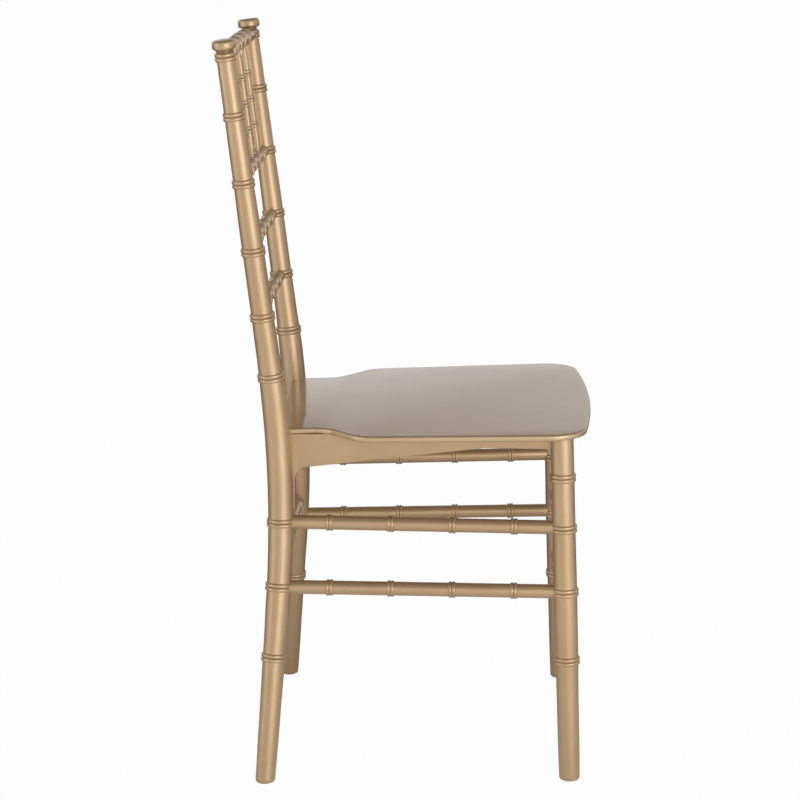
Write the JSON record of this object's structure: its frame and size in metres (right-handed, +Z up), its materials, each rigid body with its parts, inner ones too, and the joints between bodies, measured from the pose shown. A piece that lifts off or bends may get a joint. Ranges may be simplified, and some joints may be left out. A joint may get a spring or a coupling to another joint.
{
  "type": "chiavari chair",
  "caption": "Slim upright dining chair with round bamboo-ringed posts and rails, a short spindle panel at the top of the back and a flat shaped seat board.",
  "frame": {"origin": "on the floor under the middle of the chair's overall width and depth", "axes": "+Z up, front of the chair towards -Y, sitter's left towards +X"},
  "size_m": [0.4308, 0.4584, 0.9215],
  "materials": {
    "gold_frame": "satin metallic gold",
    "gold_seat": "satin metallic gold with a glossy clear coat"
  },
  "bodies": {
    "root": {"right_rear_post": "gold_frame", "left_rear_post": "gold_frame", "right_front_leg": "gold_frame", "left_front_leg": "gold_frame", "seat_panel": "gold_seat", "right_side_apron": "gold_frame", "left_side_apron": "gold_frame", "front_apron": "gold_frame", "rear_apron": "gold_frame", "right_upper_side_stretcher": "gold_frame", "right_lower_side_stretcher": "gold_frame", "left_upper_side_stretcher": "gold_frame", "left_lower_side_stretcher": "gold_frame", "upper_front_stretcher": "gold_frame", "lower_front_stretcher": "gold_frame", "rear_stretcher": "gold_frame", "crest_rail": "gold_frame", "second_back_rail": "gold_frame", "third_back_rail": "gold_frame", "fourth_back_rail": "gold_frame", "spindle_1": "gold_frame", "spindle_2": "gold_frame", "spindle_3": "gold_frame", "spindle_4": "gold_frame"}
  },
  "joints": []
}
